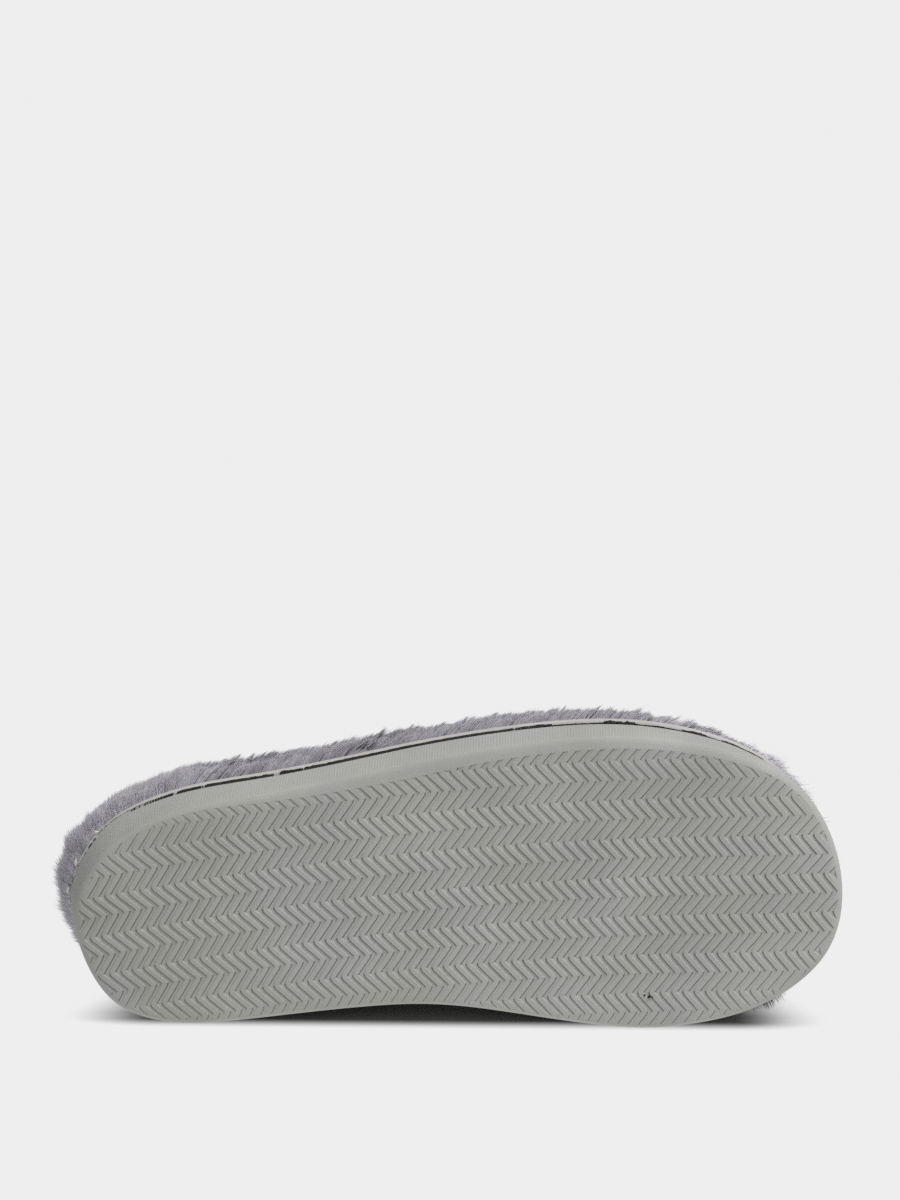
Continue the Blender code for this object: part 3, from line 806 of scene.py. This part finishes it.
def combed(roots, normals, look, seed):
    # tips of the strands: combed along the nap, a little ruffled, gathered into tufts
    rng = np.random.default_rng(seed)
    count = len(roots)
    sway = np.stack([wander(roots, seed + k, 26 * mm) for k in (1, 2, 3)], axis=1)
    heelShare = np.clip((-86 * mm - roots[:, 0]) / (26 * mm), 0, 1)[:, None]
    nap = np.array(look["comb"]) * (1 - heelShare) + np.array(look["heelComb"]) * heelShare + 0.3 * sway
    nap[:, 1] += 0.8 * np.clip(1.3 - aboveSole(roots) / (6 * mm), 0, 1)    # brushed off the sole
    nap = unit(nap - np.sum(nap * normals, axis=1, keepdims=True) * normals)
    looseX, looseZ, looseReach = look["loose"]
    loose = np.hypot(roots[:, 0] / mm - looseX, roots[:, 2] / mm - looseZ) / looseReach
    loose = (np.exp(-loose ** 2) * (aboveSole(roots) < 5 * mm))[:, None]
    nap = nap * (1 - loose) + np.array(look["looseComb"]) * loose
    heading = look["stand"] * normals + look["lean"] * nap + look["ruffle"] * rng.normal(size=(count, 3))
    heading = unit(heading)
    length = look["length"] * rng.uniform(0.72, 1.12, count) * (1 + 0.12 * wander(roots, seed + 4, 9 * mm))
    length *= np.interp(roots[:, 0] / mm, *zip(*look["worn"])) * (1 + 0.55 * loose[:, 0])
    tips = roots + heading * length[:, None]
    middles = rng.choice(count, size=max(1, count // look["perTuft"]), replace=False)
    tree = KDTree(len(middles))
    for k, i in enumerate(middles):
        tree.insert(roots[i], k)
    tree.balance()
    tuft = np.array([tree.find(root)[1] for root in roots])
    pull = np.interp(roots[:, 0], (-112 * mm, -85 * mm, 75 * mm, 100 * mm),
                     (look["endGather"], look["gather"], look["gather"], look["endGather"]))
    pull *= rng.uniform(0.4, 1.0, count)
    tips += (tips[middles[tuft]] - tips) * pull[:, None]
    tips[:, 2] = np.maximum(tips[:, 2], 0.25 * mm)      # pressed flat on the floor
    tone = 0.12 + 0.4 * rng.random(len(middles))[tuft] + 0.36 * (0.5 + 0.5 * wander(roots, seed + 5, 8 * mm))
    # painted light and shade near the sole, from the table above
    low = np.clip(1.6 - aboveSole(roots) / (14 * mm), 0.25, 1)
    # painted shade: the loose tufts under the toe are made darker
    tone += np.interp(roots[:, 0] / mm, *zip(*look["paintedLightNearSole"])) * low - 2.5 * loose[:, 0]
    return tips, tone, rng.random(count)


def growPile(name, roots, normals, tips, tone, chance, look, material):
    # each strand is a closed three-sided spike, and all of them are one mesh
    count = len(roots)
    heading = unit(tips - roots)
    side = unit(np.cross(heading, normals + 0.37 * np.roll(normals, 1, axis=1)))
    other = np.cross(heading, side)
    thick = look["thick"] * (0.75 + 0.5 * chance)[:, None]
    base = np.maximum(roots - 0.4 * mm * normals, (-1, -1, 0.15 * mm))
    spokes = [math.cos(a) * side + math.sin(a) * other for a in (0, 2.0944, 4.1888)]
    verts = np.stack([base + thick * s for s in spokes] + [tips], axis=1).reshape(-1, 3)
    verts[:, 2] = np.maximum(verts[:, 2], 0.05 * mm)
    shape = np.array([(0, 2, 1), (0, 1, 3), (1, 2, 3), (2, 0, 3)])
    faces = (shape[None] + 4 * np.arange(count)[:, None, None]).reshape(-1, 3)
    mesh = bpy.data.meshes.new(name)
    mesh.vertices.add(len(verts))
    mesh.vertices.foreach_set("co", verts.ravel())
    mesh.loops.add(faces.size)
    mesh.loops.foreach_set("vertex_index", faces.ravel().astype(np.int32))
    mesh.polygons.add(len(faces))
    mesh.polygons.foreach_set("loop_start", np.arange(0, faces.size, 3, dtype=np.int32))
    mesh.update(calc_edges=True)
    mesh.shade_smooth()
    # soft shading: normals lean from the strand's own side towards the face of the wall
    soft = [unit(0.8 * normals + 0.45 * s) for s in spokes] + [unit(0.8 * normals + 0.3 * heading)]
    mesh.normals_split_custom_set_from_vertices(np.stack(soft, axis=1).reshape(-1, 3))
    along = np.ones((count, 4))
    # painted light: roots paler high up on the upper, for the light scattered among the strands
    high = 0.4 * np.clip(aboveSole(roots) / (12 * mm) - 1, 0, 1)
    along[:, :3] = np.minimum(np.interp(roots[:, 0] / mm, *zip(*look["paleRoots"])) + high, 0.9)[:, None]
    values = np.stack([along.ravel(), np.repeat(chance, 4), np.repeat(tone, 4)], axis=1)
    strand = mesh.attributes.new("strand", "FLOAT_VECTOR", "POINT")
    strand.data.foreach_set("vector", values.astype(np.float32).ravel())
    piece = bpy.data.objects.new(name, mesh)
    scene.collection.objects.link(piece)
    dress(piece, look["slot"], material)


upper = pieceFrom(copyOfNode("upper"), "plushWall")
wallPoints = pointsOf(upper.data)
wallNormals = normalsOf(upper.data)
outside = np.sum(wallNormals * unit(fromSpine(wallPoints)), axis=1) > 0
sink = wallNormals * (upperLook["pileDepth"] * outside)[:, None]
sink[wallNormals[:, 1] < -0.3, 1] = 0       # the foot of the wall stays on the sole
wallPoints = wallPoints - sink
wallPoints[:, 2] = np.maximum(wallPoints[:, 2], 1.2 * mm)
upper.data.vertices.foreach_set("co", wallPoints.ravel())
upper.data.update()
soften(upper, 1)
shadeByAngle(upper, 80)
dress(upper, "upper_plush", backingMaterial("plushBacking", upperLook))
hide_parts("upper")
print("upper: backing wall of %d faces" % len(upper.data.polygons))


def outerFace(centre, facing):
    away = np.sum(facing * unit(fromSpine(centre)), axis=1)
    gap = mm * np.interp(centre[:, 0] / mm, *zip(*longPile["gap"]))
    keep = (away > 0.05) & (facing[:, 1] > -0.75) & (aboveSole(centre) > gap)
    nearSole = centre[:, 1] < 12 * mm
    seen = np.where(nearSole & (centre[:, 2] > 30 * mm), longPile["denseSide"], 1.0)
    seen = np.where(nearSole & (centre[:, 0] < -90 * mm), longPile["denseHeel"], seen)
    tufted = np.abs(centre[:, 0] / mm - longPile["loose"][0]) < 10
    tufted &= (centre[:, 2] < 30 * mm) & (aboveSole(centre) < 5 * mm)
    return keep * np.where(tufted, longPile["denseTufts"], seen)


def innerFace(centre, facing):
    away = np.sum(facing * unit(fromSpine(centre)), axis=1)
    return (away <= 0.05) & (centre[:, 0] < 45 * mm) & (facing[:, 1] > -0.75)


plushPile = pileMaterial("plushPile", longPile)
roots, normals = scatter(upper.data, longPile["strands"], outerFace, 11)
tips, tone, chance = combed(roots, normals, longPile, 21)
heelPart = roots[:, 0] < upperLook["heelSplit"]
toePart = (roots[:, 0] > upperLook["toeSplit"]) & ~heelPart
outerPart = (roots[:, 2] > upperLook["sideSplit"]) & ~heelPart & ~toePart
innerPart = ~(heelPart | toePart | outerPart)
for partName, part in (("pileHeel", heelPart), ("pileToe", toePart), ("pileOuterSide", outerPart),
                       ("pileInnerSide", innerPart)):
    growPile(partName, roots[part], normals[part], tips[part], tone[part], chance[part], longPile, plushPile)
    print("upper: %s has %d strands" % (partName, part.sum()))
roots, normals = scatter(upper.data, liningPile["strands"], innerFace, 12)
tips, tone, chance = combed(roots, normals, liningPile, 22)
growPile("pileLining", roots, normals, tips, tone, chance, liningPile, plushPile)
print("upper: lining done")

# Insole: a padded footbed, worn in a little at heel and ball, with short clipped pile

insoleLook = {
    "heelDip": (-78 * mm, 52 * mm, 30 * mm, 1.0 * mm),      # along, across, spread, depth
    "ballDip": (58 * mm, 54 * mm, 36 * mm, 0.7 * mm),
    "dark": (0.15, 0.14, 0.17, 1),
    "light": (0.24, 0.225, 0.265, 1),
}
insole = pieceFrom(copyOfNode("insole"), "footbedPad")
soften(insole, 2)
padPoints = pointsOf(insole.data)
padFacing = np.clip(normalsOf(insole.data)[:, 1], 0, 1)
for along, across, spread, depth in (insoleLook["heelDip"], insoleLook["ballDip"]):
    reach = np.hypot(padPoints[:, 0] - along, padPoints[:, 2] - across) / spread
    padPoints[:, 1] -= depth * padFacing * np.exp(-reach ** 2)
padPoints[:, 1] += 0.25 * mm * padFacing * wander(padPoints, 5, 30 * mm)
insole.data.vertices.foreach_set("co", padPoints.ravel())
insole.data.update()
shadeByAngle(insole, 60)
dress(insole, "footbed_plush", backingMaterial("footbedCover", insoleLook))
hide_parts("insole")
roots, normals = scatter(insole.data, footbedPile["strands"], lambda centre, facing: facing[:, 1] > 0.2, 13)
tips, tone, chance = combed(roots, normals, footbedPile, 23)
growPile("pileFootbed", roots, normals, tips, tone, chance, footbedPile,
         pileMaterial("footbedPile", footbedPile))
print("insole: pad and pile done")

# Camera, floor and light

cameraData = bpy.data.cameras.new("photoCamera")
cameraData.lens = 141.93
cameraData.sensor_width = 36.0
cameraData.clip_end = 30.0
camera = bpy.data.objects.new("photoCamera", cameraData)
scene.collection.objects.link(camera)
camera.location = (37.18 * mm, -1566.41 * mm, 545.63 * mm)
downwards = math.radians(14.534)
sideways = math.radians(1.34)
lookTo = Vector((-math.sin(sideways) * math.cos(downwards), math.cos(sideways) * math.cos(downwards),
                 -math.sin(downwards)))
camera.rotation_euler = lookTo.to_track_quat("-Z", "Y").to_euler()
scene.camera = camera

floorBm = bmesh.new()
bmesh.ops.create_grid(floorBm, x_segments=8, y_segments=8, size=9.0)
floor = pieceFrom(floorBm, "studioFloor")
paleFloor, floorTree, floorSurface = newMaterial("paleFloor")
fill(floorSurface, {"Roughness": 1.0, "Specular IOR Level": 0.0, "Emission Color": (1, 1, 1, 1)})
# the floor glows evenly as a light table does, and takes a shadow only under the slipper, where its colour is
# also painted darker as painted shade
floorPlace = put(floorTree, "ShaderNodeTexCoord", (-1700, 0))
floorSplit = put(floorTree, "ShaderNodeSeparateXYZ", (-1500, 0))
floorSide = put(floorTree, "ShaderNodeMath", (-1300, 200), operation="ABSOLUTE")
floorBack = put(floorTree, "ShaderNodeMapRange", (-1300, 0),
                {"From Min": -30 * mm, "From Max": 45 * mm, "To Min": 98 * mm, "To Max": 60 * mm})
floorOver = put(floorTree, "ShaderNodeMath", (-1100, 200), operation="SUBTRACT")
floorEnds = put(floorTree, "ShaderNodeMapRange", (-900, 200), {"From Max": 34 * mm})
floorFront = put(floorTree, "ShaderNodeMapRange", (-1100, -100), {"From Min": -35 * mm, "From Max": -45 * mm})
floorRear = put(floorTree, "ShaderNodeMapRange", (-1100, -350), {"From Min": 35 * mm, "From Max": 75 * mm})
floorJoin = put(floorTree, "ShaderNodeCombineXYZ", (-700, 0))
floorReach = put(floorTree, "ShaderNodeVectorMath", (-500, 0), operation="LENGTH")
floorGlow = put(floorTree, "ShaderNodeMapRange", (-300, -200), {"To Max": 0.855},
                interpolation_type="SMOOTHSTEP")
# painted shade: the floor's colour is darker under the slipper
floorShadeTint = put(floorTree, "ShaderNodeMapRange", (-300, 100), {"To Min": 0.28, "To Max": 0.0},
                interpolation_type="SMOOTHSTEP")
wire(floorTree, (floorPlace, "Object", floorSplit, "Vector"), (floorSplit, "X", floorSide, 0),
     (floorSplit, "Y", floorBack, "Value"), (floorSide, "Value", floorOver, 0),
     (floorBack, "Result", floorOver, 1), (floorOver, "Value", floorEnds, "Value"),
     (floorSplit, "Y", floorFront, "Value"),
     (floorSplit, "Y", floorRear, "Value"), (floorEnds, "Result", floorJoin, "X"),
     (floorFront, "Result", floorJoin, "Y"), (floorRear, "Result", floorJoin, "Z"),
     (floorJoin, "Vector", floorReach, "Vector"), (floorReach, "Value", floorGlow, "Value"),
     (floorReach, "Value", floorShadeTint, "Value"), (floorShadeTint, "Result", floorSurface, "Base Color"),
     (floorGlow, "Result", floorSurface, "Emission Strength"))
floor.data.materials.append(paleFloor)

# soft light from above and a little from the right, weakest at the left
world = bpy.data.worlds.new("softStudio")
world.use_nodes = True
skyTree = world.node_tree
sky = skyTree.nodes["Background"]
skyPlace = put(skyTree, "ShaderNodeTexCoord", (-900, 0))
skyTurn = put(skyTree, "ShaderNodeVectorMath", (-700, 0), {1: (0.35, -0.1, 0.93)}, operation="DOT_PRODUCT")
skyRange = put(skyTree, "ShaderNodeMapRange", (-450, 0), {"From Min": -0.6, "To Min": 0.12, "To Max": 0.45})
# a weak fill from the collar's side
skyBehind = put(skyTree, "ShaderNodeVectorMath", (-700, -250), {1: (-0.1, 0.98, 0.1)}, operation="DOT_PRODUCT")
skyFill = put(skyTree, "ShaderNodeMapRange", (-450, -250), {"To Max": 0.35})
skySum = put(skyTree, "ShaderNodeMath", (-200, -100), operation="ADD")
wire(skyTree, (skyPlace, "Generated", skyTurn, "Vector"), (skyPlace, "Generated", skyBehind, "Vector"),
     (skyTurn, "Value", skyRange, "Value"), (skyBehind, "Value", skyFill, "Value"),
     (skyRange, "Result", skySum, 0), (skyFill, "Result", skySum, 1), (skySum, "Value", sky, "Strength"))
fill(sky, {"Color": (1, 1, 1, 1)})
scene.world = world
keyData = bpy.data.lights.new("topRightKey", "SUN")
keyData.energy = 2.0
keyData.angle = math.radians(24)
key = bpy.data.objects.new("topRightKey", keyData)
scene.collection.objects.link(key)
key.rotation_euler = Vector((-0.4, 0.22, -0.88)).to_track_quat("-Z", "Y").to_euler()
scene.view_settings.view_transform = "Standard"
scene.cycles.use_denoising = False     # it would melt the pile and the fine tread
print("studio: camera, floor and light set")
